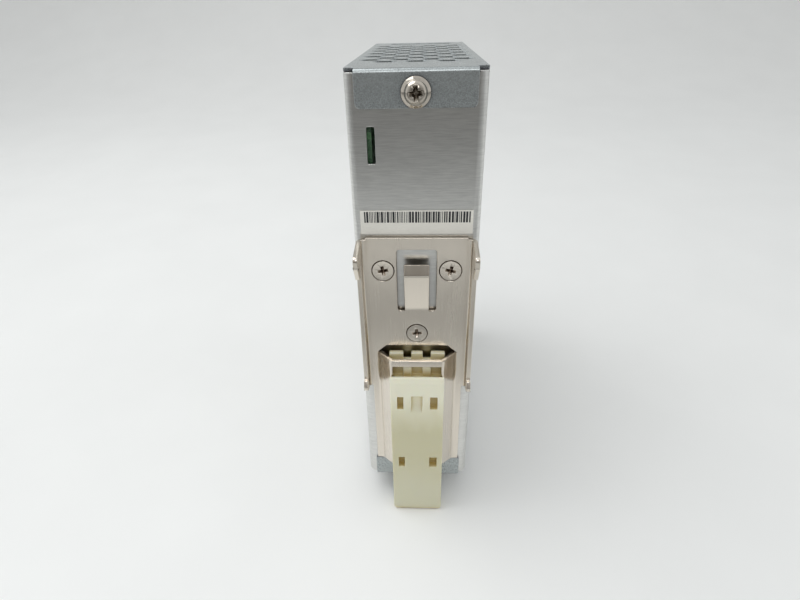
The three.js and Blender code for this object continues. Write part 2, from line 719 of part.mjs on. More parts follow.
function makeSlider() {
  const plateFront = plateBack - SLIDER_PLATE;
  const footBack = -CHANNEL_RISE + 1.45;
  const frontPlate = prismX(
    [
      [plateBack, SLIDER_TOP],
      [plateFront + 0.25, SLIDER_TOP, 0.3],
      [plateFront - 0.15, SLIDER_TOP - 1.8, 1],
      [plateFront - 0.75, SLIDER_BOTTOM, 0.5],
      [footBack, SLIDER_BOTTOM, 0.4],
      [footBack, PLATE_BOTTOM + 0.3],
      [plateBack, PLATE_BOTTOM + 0.3],
    ],
    -SLIDER_HALF,
    SLIDER_HALF,
  );
  const web = SLIDER_HALF - 1.15;
  const throat = -CHANNEL_RISE + PLATE_SHEET + SLIDER_CLEARANCE;
  const wedge = [
    [-web, plateBack - 0.3],
    [web, plateBack - 0.3],
    [web, throat],
    [channelInner(throat, SLIDER_CLEARANCE), throat],
    [channelInner(sliderBack, SLIDER_CLEARANCE), sliderBack],
    [-channelInner(sliderBack, SLIDER_CLEARANCE), sliderBack],
    [-channelInner(throat, SLIDER_CLEARANCE), throat],
    [-web, throat],
  ];
  const base = prismZ(wedge, sliderBaseBottom, webTop);
  const comb = makeComb(throat);
  const guideTop = sliderBaseBottom + 1;
  const guides = [-1, 1].map((side) =>
    box(side * GUIDE_IN, side * web, plateBack - 0.3, -LUG_REACH / 2, PLATE_BOTTOM + 1.5, guideTop),
  );
  const pocketHalf = SPRING_RADIUS + 0.4;
  const pocket = box(-pocketHalf, pocketHalf, -LUG_REACH - 0.3, 1, pocketBottom, SPRING_TOP);
  const windows = sliderWindows(plateFront);
  const bottomCorners = [-1, 1].map((side) => footCorner(side));
  return cut(join(frontPlate, base, comb, ...guides), pocket, ...windows, ...bottomCorners);
}

// The back plate and two posts that stand above the catch, behind the bridge.
function makeComb(throat) {
  const mid = sliderBack - 1.5;
  const back = channelInner(mid, SLIDER_CLEARANCE);
  const plate = box(-back, back, mid, sliderBack, webTop - 1, PAD_TOP);
  const gaps = [-1, 1].map((side) =>
    box(side * POST_IN, side * POST_OUT, mid - 1, 1, CHANNEL_TOP - BRIDGE_HEIGHT + 0.4, PAD_TOP + 1),
  );
  const posts = [-1, 1].map((side) =>
    box(side * POST_IN, side * POST_OUT, throat, mid + 0.1, webTop - 1, CHANNEL_TOP - BRIDGE_HEIGHT + 1),
  );
  return join(cut(plate, ...gaps), ...posts);
}

// Blind windows moulded into the slider's face, and a ramp between the upper two.
function sliderWindows(plateFront) {
  const outside = plateFront - 3;
  const floor = plateFront - 0.5 + WINDOW_DEPTH;
  const windows = WINDOWS.map(([left, right, bottom, top]) =>
    box(left, right, outside, floor, bottom, top),
  );
  const rampFloor = plateFront - 0.3 + RAMP.depth;
  const ramp = prismX(
    [
      [outside, RAMP.top],
      [rampFloor, RAMP.top],
      [rampFloor, RAMP.floor],
      [plateFront - 1, RAMP.bottom],
      [outside, RAMP.bottom],
    ],
    RAMP.left,
    RAMP.right,
  );
  return [...windows, ramp];
}

function footCorner(side) {
  return cornerTool(side * SLIDER_HALF, SLIDER_BOTTOM, side, 1, FOOT_CORNER, 5, -12, 0);
}

// A compression spring between the bracket's lug and the roof of the slider's pocket.
function makeSpring() {
  class Helix extends THREE.Curve {
    getPoint(t, target = new THREE.Vector3()) {
      const angle = t * SPRING_TURNS * Math.PI * 2;
      const low = lugTop + SPRING_WIRE + 0.1;
      const high = SPRING_TOP - SPRING_WIRE - 0.1;
      const y = -LUG_REACH / 2 - 0.15 + SPRING_RADIUS * Math.sin(angle);
      return target.set(SPRING_RADIUS * Math.cos(angle), y, low + (high - low) * t);
    }
  }
  const sides = [0, 1, 2, 3, 4].map((side) => (side / 5) * Math.PI * 2);
  const section = new THREE.Shape(
    sides.map((angle) => new THREE.Vector2(Math.cos(angle), Math.sin(angle)).multiplyScalar(SPRING_WIRE)),
  );
  const geometry = new THREE.ExtrudeGeometry(section, {
    steps: SPRING_TURNS * 8,
    extrudePath: new Helix(),
  });
  return solid(geometry);
}

// ---------------------------------------------------------------- labels and film

function makeBarcodeLabel() {
  const half = halfWidth - LABEL.margin;
  const bottom = PLATE_TOP + LABEL.lift;
  const y = wallY - SEAT;
  return box(-half, half, y - LABEL.thickness, y, bottom, bottom + LABEL.height);
}

function makeFilm() {
  const x = -halfWidth + HOUSING_SHEET + 0.5;
  const end = panelY - PANEL_TAB.reach - 0.5;
  const sheet = box(x, x + 0.3, boardStart, end, -boardHalf - 0.6, boardHalf + 0.6);
  const holes = POSTS.map(({ y, z }) => cylinder(3, 2, X, [x - 1, placeY(y), placeZ(z)], 20));
  return cut(sheet, ...holes);
}

// ---------------------------------------------------------------- circuit board and its parts

function makeBoardPost({ y, z }) {
  const start = -halfWidth + HOUSING_SHEET + SEAT;
  return cylinder(2.5, boardX - SEAT - start, X, [start, placeY(y), placeZ(z)], 16);
}

// A block whose middle is at y, z, from one height above the board to another.
function blockOver(y, z, from, to, long, wide) {
  return box(componentX + from, componentX + to, y - long / 2, y + long / 2, z - wide / 2, z + wide / 2);
}

function standing({ y, z, high, long, wide }) {
  return blockOver(placeY(y), placeZ(z), 0, high * stretchX, long * stretchY, wide * stretchZ);
}

// A can with a rolled groove near its base and a rim round its top.
function can({ y, z }) {
  const radius = CAN.radius * stretchRound;
  const height = CAN.high * stretchX;
  const profile = [
    [0, 0], [radius, 0], [radius, 1], [radius - 0.25, 1.4], [radius - 0.25, 1.8], [radius, 2.2],
    [radius, height - 0.5], [radius - 0.5, height], [radius - 0.9, height - 0.2], [0, height - 0.2],
  ];
  return turned(profile, X, [componentX, placeY(y), placeZ(z)], 18);
}

// A wound ring: a toroid whose turns stand out as ribs round its rim.
function woundRing({ y, z, outer, inner, high, turns }) {
  const far = outer * stretchRound;
  const near = inner * stretchRound;
  const height = high * stretchRound;
  const wire = 0.6;
  const place = [componentX, placeY(y), placeZ(z)];
  const profile = [
    [near + wire, wire], [far - wire, wire], [far - wire, height - wire], [near + wire, height - wire],
    [near + wire, wire],
  ];
  const ribs = [];
  for (let turn = 0; turn < turns; turn += 1) {
    const geometry = new THREE.BoxGeometry(height, far - near, 1.1);
    geometry.translate(height / 2, (far + near) / 2, 0);
    geometry.rotateX(((turn + 0.5) / turns) * Math.PI * 1.7);
    geometry.translate(...place);
    ribs.push(solid(geometry));
  }
  return join(turned(profile, X, place, 20), ...ribs);
}

// Two E-shaped halves of ferrite round a taped coil.
function makeTransformer() {
  const y = placeY(TRANSFORMER.y);
  const z = placeZ(TRANSFORMER.z);
  const high = TRANSFORMER.high * stretchX;
  const long = TRANSFORMER.long * stretchY;
  const wide = TRANSFORMER.wide * stretchZ;
  const coilLong = TRANSFORMER.coilLong * stretchY;
  const coilWide = TRANSFORMER.coilWide * stretchZ;
  const leg = TRANSFORMER.leg * stretchY;
  const yoke = 3;
  const air = 0.2;
  const windowLong = (coilLong + 2 * air - leg) / 2;
  const windows = [-1, 1].map((side) =>
    blockOver(y + (side * (leg + windowLong)) / 2, z, yoke, high - yoke, windowLong, 2 * wide),
  );
  const core = cut(blockOver(y, z, 0, high, long, wide), ...windows);
  const shell = prismX(
    rectangle(y - coilLong / 2, y + coilLong / 2, z - coilWide / 2, z + coilWide / 2, 3),
    componentX + yoke + air,
    componentX + high - yoke - air,
  );
  const passage = blockOver(y, z, 0, high, leg + 2 * air, wide + 2 * air);
  addPart("transformer_core", core, LOOKS.ferrite);
  addPart("transformer_winding", cut(shell, passage), LOOKS.windingTape);
}

function makeHeatSink({ y, z, long, fold }) {
  const high = SINK.high * stretchX;
  const length = long * stretchY;
  const plate = blockOver(placeY(y), placeZ(z), 0, high, length, SINK.sheet);
  const lipMiddle = placeZ(z) + (fold * (SINK.lip - SINK.sheet / 2)) / 2;
  const lip = blockOver(placeY(y), lipMiddle, high - SINK.sheet, high, length, SINK.lip + SINK.sheet / 2);
  return join(plate, lip);
}

// A three-legged power device, whose metal back lies on the side of its heat sink that the lip leaves free.
function makePowerDevice({ y, z, fold }) {
  const { start, high, tag, half, thick, tagThick, pitch, leg } = POWER_DEVICE;
  const away = -fold;
  const middle = placeY(y);
  const back = placeZ(z) + away * (SINK.sheet / 2 + PART_GAP);
  const slab = (from, to, long, near, far) =>
    blockOver(middle, back + (away * (near + far)) / 2, from * stretchX, to * stretchX, long, far - near);
  const body = slab(start, start + high, 2 * half, 0, thick);
  const metal = slab(start, start + high + tag, 2 * half, 0, tagThick);
  const legs = [-1, 0, 1].map((side) =>
    slab(0, start + 1, 2 * leg, 2, 2.6).translate([0, side * pitch, 0]),
  );
  return join(body, metal, ...legs);
}

function makeElectronics() {
  makeTransformer();
  addPart("x_capacitor", standing(X_CAPACITOR), LOOKS.yellowBox);
  const fuse = FUSE.radius * stretchRound;
  const fusePlace = [componentX + fuse + 0.2, placeY(FUSE.y), placeZ(FUSE.z)];
  addPart("fuse", cylinder(fuse, FUSE.long * stretchY, Y, fusePlace, 16), LOOKS.ceramic);
  const disc = THERMISTOR.radius * stretchRound;
  const discPlace = [componentX + disc + 0.2, placeY(THERMISTOR.y), placeZ(THERMISTOR.z)];
  addPart("thermistor", cylinder(disc, THERMISTOR.wide * stretchZ, Z, discPlace, 20), LOOKS.thermistorDisc);
  addPart("line_choke", woundRing(LINE_CHOKE), LOOKS.copper);
  addPart("bridge_rectifier", standing(BRIDGE_RECTIFIER), LOOKS.blackPlastic);
  addPart("primary_heat_sink", makeHeatSink(PRIMARY_SINK), LOOKS.sinkAluminium);
  addPart("switching_transistor", makePowerDevice(PRIMARY_SINK), LOOKS.blackPlastic);
  const bulk = BULK_CAPACITOR.radius * stretchRound;
  const bulkLong = BULK_CAPACITOR.long * stretchY;
  const bulkPlace = [componentX + bulk, placeY(BULK_CAPACITOR.y), placeZ(BULK_CAPACITOR.z)];
  addPart("bulk_capacitor", cylinder(bulk, bulkLong, Y, bulkPlace), LOOKS.capacitorSleeve);
  addPart("optocoupler", standing(OPTOCOUPLER), LOOKS.blackPlastic);
  addPart("output_choke", woundRing(OUTPUT_CHOKE), LOOKS.copper);
  addPart("secondary_heat_sink", makeHeatSink(SECONDARY_SINK), LOOKS.sinkAluminium);
  addPart("output_rectifier", makePowerDevice(SECONDARY_SINK), LOOKS.blackPlastic);
  OUTPUT_CAPACITORS.forEach((place, index) => {
    addPart(`output_capacitor_${index + 1}`, can(place), LOOKS.capacitorSleeve);
  });
}

function makeIndicators() {
  const { radius, rim, length, proud } = LED;
  const tip = panelY + CAP_SHEET + proud;
  const profile = [
    [0, 0], [rim, 0], [rim, 1], [radius, 1], [radius, length - 1.4], [1.1, length - 0.4], [0, length],
  ];
  addPart("led", turned(profile, Y, [boardFace + LED.x, tip - length, placeZ(LED.z)], 20), LOOKS.greenLens);
  const { half, rotor, depth, setback } = TRIMMER;
  const x = boardFace + TRIMMER.x;
  const z = placeZ(TRIMMER.z);
  const face = panelY - setback;
  const well = cylinder(rotor + HOLE_CLEARANCE, 3, Y, [x, face - 1.5, z], 24);
  const body = box(x - half + PART_GAP, x + half, face - depth, face, z - half, z + half);
  addPart("trim_pot_body", cut(body, well), LOOKS.blueTrimmer);
  const knob = cylinder(rotor, 2.4, Y, [x, face - 1.4, z], 24);
  const slotHalf = 0.35;
  const blade = box(x - rotor - 1, x + rotor + 1, face + 0.4, face + 2, z - slotHalf, z + slotHalf);
  addPart("trim_pot_rotor", cut(knob, blade), LOOKS.whiteRotor);
}

// ---------------------------------------------------------------- terminal blocks

function poleX(pole, poles, pitch) {
  return TERMINAL_X + (pole - (poles - 1) / 2) * pitch;
}

function tailZ(pole, up) {
  return up * (poleZ + TAIL_OFFSETS[pole]);
}

// A block is drawn for the top of the case, and up = -1 turns it over for the bottom.
function makeTerminalBlock(name, up, poles, pitch) {
  const z = up * poleZ;
  const half = BLOCK_WIDTH / 2;
  const left = TERMINAL_X - half;
  const body = box(left, left + BLOCK_WIDTH, blockBack, blockFront, up * blockInner, up * blockOuter);
  const cuts = [];
  const chamberHalf = CLAMP.size / 2 + HOLE_CLEARANCE;
  const low = up * (poleZ - 4.6);
  const high = up * (poleZ + 4.4);
  for (let pole = 0; pole < poles; pole += 1) {
    const x = poleX(pole, poles, pitch);
    const tail = tailZ(pole, up);
    const room = CONTACT.tail / 2 + 0.15;
    cuts.push(
      cylinder(TERMINAL_SCREW.head + 0.15, 5, Y, [x, chamberFront - 1, z], 20),
      box(x - chamberHalf, x + chamberHalf, contactBack - 0.05, chamberFront, low, high),
      box(x - chamberHalf, x + chamberHalf, contactFront, clampBack - 0.5, z, up * (blockOuter + 1)),
      cylinder(TERMINAL_SCREW.shank + 0.3, 8, MINUS_Y, [x, contactBack + 0.1, z], 16).intersect(
        box(x - 3, x + 3, boreBack, contactBack + 1, z - 3, z + 3),
      ),
      box(x - room, x + room, blockBack - 1, contactBack + 0.1, tail - room, tail + room),
    );
    makePole(name, pole, up, x);
  }
  addPart(`${name}_terminal_block`, cut(body, ...cuts), LOOKS.blackPlastic);
}

// Contact, clamp plate and screw of one pole.
function makePole(name, pole, up, x) {
  const z = up * poleZ;
  const half = CLAMP.size / 2;
  const tail = tailZ(pole, up);
  const thin = CONTACT.tail / 2;
  const bar = box(x - half, x + half, contactBack, contactFront, z - 4.2, z + 4.2);
  const rod = box(x - thin, x + thin, tailY - thin, contactBack + 0.2, tail - thin, tail + thin);
  const foot = box(boardX - 0.8, x + thin, tailY - thin, tailY + thin, tail - thin, tail + thin);
  const bore = (length, y) => cylinder(shankHole, length, Y, [x, y, z], 16);
  const number = pole + 1;
  const contact = cut(join(bar, rod, foot), bore(3, contactBack - 1));
  addPart(`${name}_contact_${number}`, contact, LOOKS.tinnedBrass);
  const plate = box(x - half, x + half, clampBack, clampFront, z - half, z + half);
  addPart(`${name}_clamp_${number}`, cut(plate, bore(3, clampBack - 1)), LOOKS.tinnedBrass);
  const { head, headHeight, shank } = TERMINAL_SCREW;
  const headBack = clampFront + SEAT;
  const top = headBack + headHeight;
  const profile = [
    [0, screwTip], [shank - 0.3, screwTip], [shank, screwTip + 0.4], [shank, headBack],
    [head, headBack], [head, top - 0.2], [head - 0.2, top], [0, top],
  ];
  const screw = turned(profile, Y, [x, 0, z], 14);
  const slot = box(x - head - 1, x + head + 1, top - 0.7, top + 1, z - 0.35, z + 0.35);
  addPart(`${name}_screw_${number}`, cut(screw, slot), LOOKS.zincScrew);
}

// ---------------------------------------------------------------- assembly

function makeBoard() {
  const board = box(boardX, boardFace, boardStart, boardEnd, -boardHalf, boardHalf);
  const holes = [];
  const room = CONTACT.tail / 2 + 0.15;
  for (const [terminals, up] of [[OUTPUT, 1], [INPUT, -1]]) {
    for (let pole = 0; pole < terminals.poles; pole += 1) {
      const z = tailZ(pole, up);
      holes.push(box(boardX - 1, boardFace + 1, tailY - room, tailY + room, z - room, z + room));
    }
  }
  const notch = BRACKET_SCREW.shank + HOLE_CLEARANCE;
  const { spread, upper, length } = BRACKET_SCREW;
  holes.push(box(notch - spread, -notch - spread, 0, length + notch, upper - notch, upper + notch));
  return cut(board, ...holes);
}

addPart("housing", makeHousing(), LOOKS.brushedAluminium);
addPart("top_cap", makeCap(1), LOOKS.galvanised);
addPart("bottom_cap", makeCap(-1), LOOKS.galvanised);
addPart("front_panel", makeFrontPanel(), LOOKS.galvanised);
addPart("top_cap_screw", makeCapScrew(flapScrewZ), LOOKS.zincScrew);
addPart("bottom_cap_screw", makeCapScrew(-flapScrewZ), LOOKS.zincScrew);
addPart("rail_bracket", makeBracket(), LOOKS.nickel);
const { spread, upper, lower } = BRACKET_SCREW;
addPart("bracket_screw_left", makeBracketScrew(-spread, upper, 0.2), LOOKS.nickel);
addPart("bracket_screw_right", makeBracketScrew(spread, upper, -0.25), LOOKS.nickel);
addPart("bracket_screw_lower", makeBracketScrew(0, lower, 0.1), LOOKS.nickel);
addPart("slider", makeSlider(), LOOKS.nylon);
addPart("slider_spring", makeSpring(), LOOKS.springSteel);
addPart("barcode_label", makeBarcodeLabel(), LOOKS.paper);
addPart("insulating_film", makeFilm(), LOOKS.film);
addPart("main_board", makeBoard(), LOOKS.board);
addPart("board_post_lower", makeBoardPost(POSTS[0]), LOOKS.nylon);
addPart("board_post_upper", makeBoardPost(POSTS[1]), LOOKS.nylon);
makeElectronics();
makeIndicators();
makeTerminalBlock("output", 1, OUTPUT.poles, OUTPUT.pitch);
makeTerminalBlock("input", -1, INPUT.poles, INPUT.pitch);

export default group;
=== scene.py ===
"""Surface looks, fine details and a small studio for a slim DIN rail power supply.

All lengths are in metres, in the frame of the packed model: X across the case, +Y from the rail to the front
panel, +Z up, with the origin on the bracket's rail-side face.
"""

import math
import random

import bmesh
import bpy
from bpy.props import FloatProperty, FloatVectorProperty, IntProperty, PointerProperty
from mathutils import Matrix, Vector


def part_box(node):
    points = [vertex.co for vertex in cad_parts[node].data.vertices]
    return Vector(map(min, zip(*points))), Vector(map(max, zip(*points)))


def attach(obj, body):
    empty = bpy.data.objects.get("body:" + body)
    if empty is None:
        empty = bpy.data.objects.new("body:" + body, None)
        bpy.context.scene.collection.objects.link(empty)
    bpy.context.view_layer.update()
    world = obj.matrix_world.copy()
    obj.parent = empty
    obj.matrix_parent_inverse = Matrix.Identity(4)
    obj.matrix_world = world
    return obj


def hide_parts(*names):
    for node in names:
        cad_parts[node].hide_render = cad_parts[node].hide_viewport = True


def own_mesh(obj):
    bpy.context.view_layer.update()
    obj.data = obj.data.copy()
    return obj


bl_info = {
    "name": "DIN rail power supply",
    "version": (1, 0, 0),
    "blender": (4, 5, 0),
    "location": "View3D > Sidebar > Power supply",
    "description": "Materials, fine details and a studio for a slim DIN rail power supply",
    "category": "Object",
}

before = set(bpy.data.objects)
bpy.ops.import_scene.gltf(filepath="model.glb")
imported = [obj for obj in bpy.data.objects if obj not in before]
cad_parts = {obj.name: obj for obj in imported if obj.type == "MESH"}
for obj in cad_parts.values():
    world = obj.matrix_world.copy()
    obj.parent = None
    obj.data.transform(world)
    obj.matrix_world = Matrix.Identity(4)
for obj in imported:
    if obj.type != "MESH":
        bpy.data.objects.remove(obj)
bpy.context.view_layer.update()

MM = 0.001

# Rounding of cut edges in mm, where it isn't a setting.
FINE_EDGE = 0.06
SLIDER_EDGE = 0.22

# The slider's colours change at these depths below its top, in mm, from the painted light band at its catch down to
# its foot.
NYLON_LEVELS = (12, 26, 36, 50)

# Sides of the spring's wire, and steps in each turn of it.
WIRE_SIDES = 8
STEPS_PER_TURN = 20

# Margins of the printed bars on the label, and how the ink stands on the paper.
BARS_LEFT, BARS_RIGHT, BARS_TOP, BARS_BOTTOM = 1.0 * MM, 0.5 * MM, 0.35 * MM, 3.0 * MM
INK_FRONT, INK_THICK = 0.012 * MM, 0.01 * MM

# The table, its curved backdrop and the card with the painted camera shadow, in metres.
TABLE_NEAR = -1.6
TABLE_SIDES = (-2.2, 2.2)
BACKDROP_START = 0.46
BACKDROP_RADIUS = 0.42
BACKDROP_TURN = math.radians(85)
BACKDROP_STEPS = 16
CARD_FAR = -0.04
CARD_LIFT = 0.3 * MM

# The viewer's lens, place and aim.
LENS_MM, SENSOR_MM = 22.41, 36.0
VIEWER_PLACE_MM = (1.688, -115.631, 73.162)
VIEWER_PITCH, VIEWER_YAW, VIEWER_ROLL = 30.187, -3.072, -1.378


# ------------------------------------------------------------------ colours and nodes


def linear(code):
    """The scene-linear RGB of an sRGB colour written as #rrggbb."""
    parts = [int(code[i : i + 2], 16) / 255 for i in (1, 3, 5)]
    return tuple(c / 12.92 if c <= 0.04045 else ((c + 0.055) / 1.055) ** 2.4 for c in parts)


def rgba(colour):
    """A colour socket's value, from #rrggbb or from linear RGB."""
    return (*(linear(colour) if isinstance(colour, str) else colour), 1.0)


def node(tree, kind, links=(), **settings):
    """Adds a shader node, sets its properties, and fills its inputs, in order or by key.

    A value given as a node stands for that node's first output in use.
    """
    made = tree.nodes.new("ShaderNode" + kind)
    for key, value in settings.items():
        setattr(made, key, value)
    for key, value in links.items() if isinstance(links, dict) else enumerate(links):
        socket = made.inputs[key]
        if isinstance(value, bpy.types.Node):
            value = next(output for output in value.outputs if output.enabled)
        if isinstance(value, bpy.types.NodeSocket):
            tree.links.new(value, socket)
        elif socket.type == "RGBA":
            socket.default_value = rgba(value)
        else:
            socket.default_value = value
    return made


def patches(tree, size, detail=2.0, roughness=0.5):
    """A pattern from 0 to 1 of uneven patches that measure size in mm along X, Y and Z of the real part."""
    place = node(tree, "TexCoord").outputs["Object"]
    scaled = node(tree, "Mapping", {"Vector": place, "Scale": [1 / (s * MM) for s in size]})
    return node(tree, "TexNoise", {"Vector": scaled, "Scale": 1.0, "Detail": detail, "Roughness": roughness})


def shifted(colour, amount):
    """A linear colour made lighter or darker by a share."""
    return tuple(min(1.0, c * (1 + amount)) for c in colour)


def mottled(tree, pattern, colour, darker, lighter):
    """The colour made darker where the pattern is low and lighter where it is high, by those shares."""
    share = node(tree, "MapRange", (pattern, 0.3, 0.7, 0.0, 1.0))
    return node(tree, "Mix", {0: share, 6: shifted(colour, -darker), 7: shifted(colour, lighter)}, data_type="RGBA")


def painted_corner_shade(tree, unshaded, shade_colour, reach, low, high, most, samples=8):
    """The unshaded colour, with up to most of the shade colour painted in as shade in corners within reach mm of
    other faces.
    """
    opening = node(tree, "AmbientOcclusion", {"Distance": reach * MM}, samples=samples).outputs["AO"]
    share = node(tree, "MapRange", (opening, low, high, most, 0.0))
    return node(tree, "Mix", {0: share, 6: unshaded, 7: shade_colour}, data_type="RGBA")


def material(name, build, *values):
    """A material of that name, whose surface is what build returns for the Principled shader's inputs."""
    made = bpy.data.materials.get(name)
    if made is None:
        made = bpy.data.materials.new(name)
        made.use_nodes = True
        tree = made.node_tree
        tree.nodes.clear()
        output = node(tree, "OutputMaterial")
        shader = node(tree, "BsdfPrincipled", build(tree, *values))
        tree.links.new(shader.outputs[0], output.inputs["Surface"])
    return made


# ------------------------------------------------------------------ metals


def brushed_aluminium(tree, colour):
    """Aluminium sheet, brushed across before it is bent, with faint handling marks."""
    # Real brushing lines are finer than 0.1 mm. These are drawn coarse enough to show.
    lines = patches(tree, (4.5, 4.5, 0.3), 4.0, 0.6)
    fine = patches(tree, (2.5, 2.5, 0.12), 3.0, 0.6)
    marks = patches(tree, (14, 14, 9), 3.0, 0.55)
    coarse_share = node(tree, "Math", (lines, 0.6), operation="MULTIPLY")
    fine_share = node(tree, "Math", (fine, 0.4), operation="MULTIPLY")
    grain = node(tree, "Math", (coarse_share, fine_share), operation="ADD")
    tone = mottled(tree, grain, colour, 0.15, 0.15)
    handled = node(tree, "MapRange", (marks, 0.35, 0.7, 0.0, 0.15))
    toned = node(tree, "Mix", {0: handled, 6: tone, 7: shifted(colour, -0.3)}, data_type="RGBA")
    # Painted shade: a brown-grey darkening within 4 mm of other faces, as on the wall behind the spring tab.
    return {
        "Base Color": painted_corner_shade(tree, toned, "#54483a", 4, 0.12, 0.5, 0.85, samples=6),
        "Metallic": 1.0,
        "Roughness": node(tree, "MapRange", (grain, 0.25, 0.75, 0.27, 0.33)),
        "Anisotropic": 0.4,
        "Normal": node(tree, "Bump", {"Height": grain, "Strength": 1.0, "Distance": 0.004 * MM}),
    }


def galvanised_steel(tree, colour):
    """Hot-dip galvanised sheet: small zinc crystals that catch the light at different angles.

    It has painted shade in its holes, its creases and next to other parts, and its oxide film gives it a matt share.
    """
    place = node(tree, "TexCoord").outputs["Object"]
    wavy = node(tree, "TexNoise", {"Vector": place, "Scale": 1 / (1.6 * MM), "Detail": 3.0}).outputs["Color"]
    pushed = node(tree, "VectorMath", (wavy, (0.7 * MM,) * 3), operation="MULTIPLY")
    bent = node(tree, "VectorMath", (place, pushed), operation="ADD")
    crystal = node(tree, "TexVoronoi", {"Vector": bent, "Scale": 1 / (0.85 * MM)}).outputs["Color"]
    shade = node(tree, "SeparateColor", (crystal,))
    speck = patches(tree, (0.28, 0.28, 0.28), 3.0, 0.65)
    cloud = patches(tree, (9, 9, 9))
    tone = node(tree, "Mix", {0: shade, 6: shifted(colour, -0.07), 7: shifted(colour, 0.08)}, data_type="RGBA")
    dulled = node(tree, "MapRange", (cloud, 0.35, 0.7, 0.0, 0.5))
    clouded = node(tree, "Mix", {0: dulled, 6: tone, 7: shifted(colour, -0.14)}, data_type="RGBA")
    lit = node(tree, "MapRange", (speck, 0.35, 0.72, 0.0, 0.4))
    toned = node(tree, "Mix", {0: lit, 6: clouded, 7: shifted(colour, 0.28)}, data_type="RGBA")
    # Painted shade: dark navy in hole walls and creases, within 2.2 mm of other faces.
    return {
        "Base Color": painted_corner_shade(tree, toned, "#222138", 2.2, 0.3, 0.95, 0.95),
        "Metallic": 0.7,
        "Roughness": node(tree, "MapRange", (speck, 0.3, 0.7, 0.22, 0.34)),
        "Normal": node(tree, "Bump", {"Height": speck, "Strength": 1.0, "Distance": 0.0008 * MM}),
    }


def nickel_plate(tree, colour):
    """Nickel plated over rolled steel: a warm gloss with drawing lines and a slight waviness."""
    drawn = patches(tree, (0.18, 6, 22), 3.0, 0.6)
    waves = patches(tree, (9, 9, 14), 1.5)
    haze = patches(tree, (6, 6, 12))
    tone = mottled(tree, drawn, colour, 0.04, 0.04)
    wave_share = node(tree, "Math", (waves, 0.4), operation="MULTIPLY")
    line_share = node(tree, "Math", (drawn, 0.04), operation="MULTIPLY")
    relief = node(tree, "Math", (wave_share, line_share), operation="ADD")
    dulling = node(tree, "Math", (drawn, haze), operation="ADD")
    # Painted shade and painted reflection: warm brown within 5 mm of other faces, for the dark reflections in the
    # channel's slanted sides and the shade by the screws and the tab.
    return {
        "Base Color": painted_corner_shade(tree, tone, "#6e5c3e", 5, 0.3, 0.65, 0.65),
        "Metallic": 1.0,
        "Roughness": node(tree, "MapRange", (dulling, 0.6, 1.4, 0.2, 0.3)),
        "Normal": node(tree, "Bump", {"Height": relief, "Strength": 1.0, "Distance": 0.04 * MM}),
    }


def plated_screw(tree, colour, recess_shade_colour):
    """Bright plated screw: gloss on the face, and painted shade in the recess and round the head."""
    swirl = patches(tree, (0.5, 0.5, 0.5), 3.0)
    # Painted shade: the colour turns towards the recess colour within 1.3 mm of other faces.
    opening = node(tree, "AmbientOcclusion", {"Distance": 1.3 * MM}, samples=8).outputs["AO"]
    recess_shade = node(tree, "MapRange", (opening, 0.4, 0.9, 0.9, 0.0))
    tone = mottled(tree, swirl, colour, 0.08, 0.08)
    return {
        "Base Color": node(tree, "Mix", {0: recess_shade, 6: tone, 7: recess_shade_colour}, data_type="RGBA"),
        "Metallic": 1.0,
        "Roughness": node(tree, "MapRange", (recess_shade, 0.0, 0.85, 0.1, 0.36)),
        "Normal": node(tree, "Bump", {"Height": swirl, "Strength": 1.0, "Distance": 0.012 * MM}),
    }


def plain_metal(tree, colour, roughness, size):
    """Stamped or drawn metal: fine uneven tone and roughness in cells of size mm."""
    grain = patches(tree, (size, size, size * 3), 4.0, 0.6)
    return {
        "Base Color": mottled(tree, grain, colour, 0.12, 0.12),
        "Metallic": 1.0,
        "Roughness": node(tree, "MapRange", (grain, 0.3, 0.7, roughness - 0.06, roughness + 0.08)),
        "Normal": node(tree, "Bump", {"Height": grain, "Strength": 1.0, "Distance": size * 0.02 * MM}),
    }


# ------------------------------------------------------------------ plastics, paper and board


def natural_nylon(tree, top, middle, bottom, levels):
    """Moulded natural nylon: waxy, with a painted light band at the catch, warmer and darker down the pull, greyer
    at the foot, and painted shade deep in its windows.
    """
    place = node(tree, "TexCoord").outputs["Object"]
    level = node(tree, "SeparateXYZ", (place,)).outputs["Z"]
    flow = patches(tree, (5, 5, 12), 3.0)
    pores = patches(tree, (0.35, 0.35, 0.35))
    wave = node(tree, "MapRange", (flow, 0.3, 0.7, -1.5 * MM, 1.5 * MM))
    waved = node(tree, "Math", (level, wave), operation="ADD")
    # Painted light: the top colour is lighter where the key light from above falls on the catch.
    below_top = node(tree, "MapRange", (waved, levels[0], levels[1], 0.0, 1.0))
    upper = node(tree, "Mix", {0: below_top, 6: top, 7: middle}, data_type="RGBA")
    near_foot = node(tree, "MapRange", (waved, levels[2], levels[3], 0.0, 1.0))
    unshaded = node(tree, "Mix", {0: near_foot, 6: upper, 7: bottom}, data_type="RGBA")
    # Painted shade: warm brown deep in the windows and between the teeth, within 3 mm of other faces.
    return {
        "Base Color": painted_corner_shade(tree, unshaded, "#cfba7a", 3, 0.35, 0.9, 0.95),
        "Roughness": node(tree, "MapRange", (pores, 0.3, 0.7, 0.40, 0.54)),
        "Subsurface Weight": 0.35,
        "Subsurface Radius": (1.0, 0.85, 0.5),
        "Subsurface Scale": 1.4 * MM,
        "Coat Weight": 0.12,
        "Coat Roughness": 0.3,
        "Normal": node(tree, "Bump", {"Height": pores, "Strength": 1.0, "Distance": 0.006 * MM}),
    }


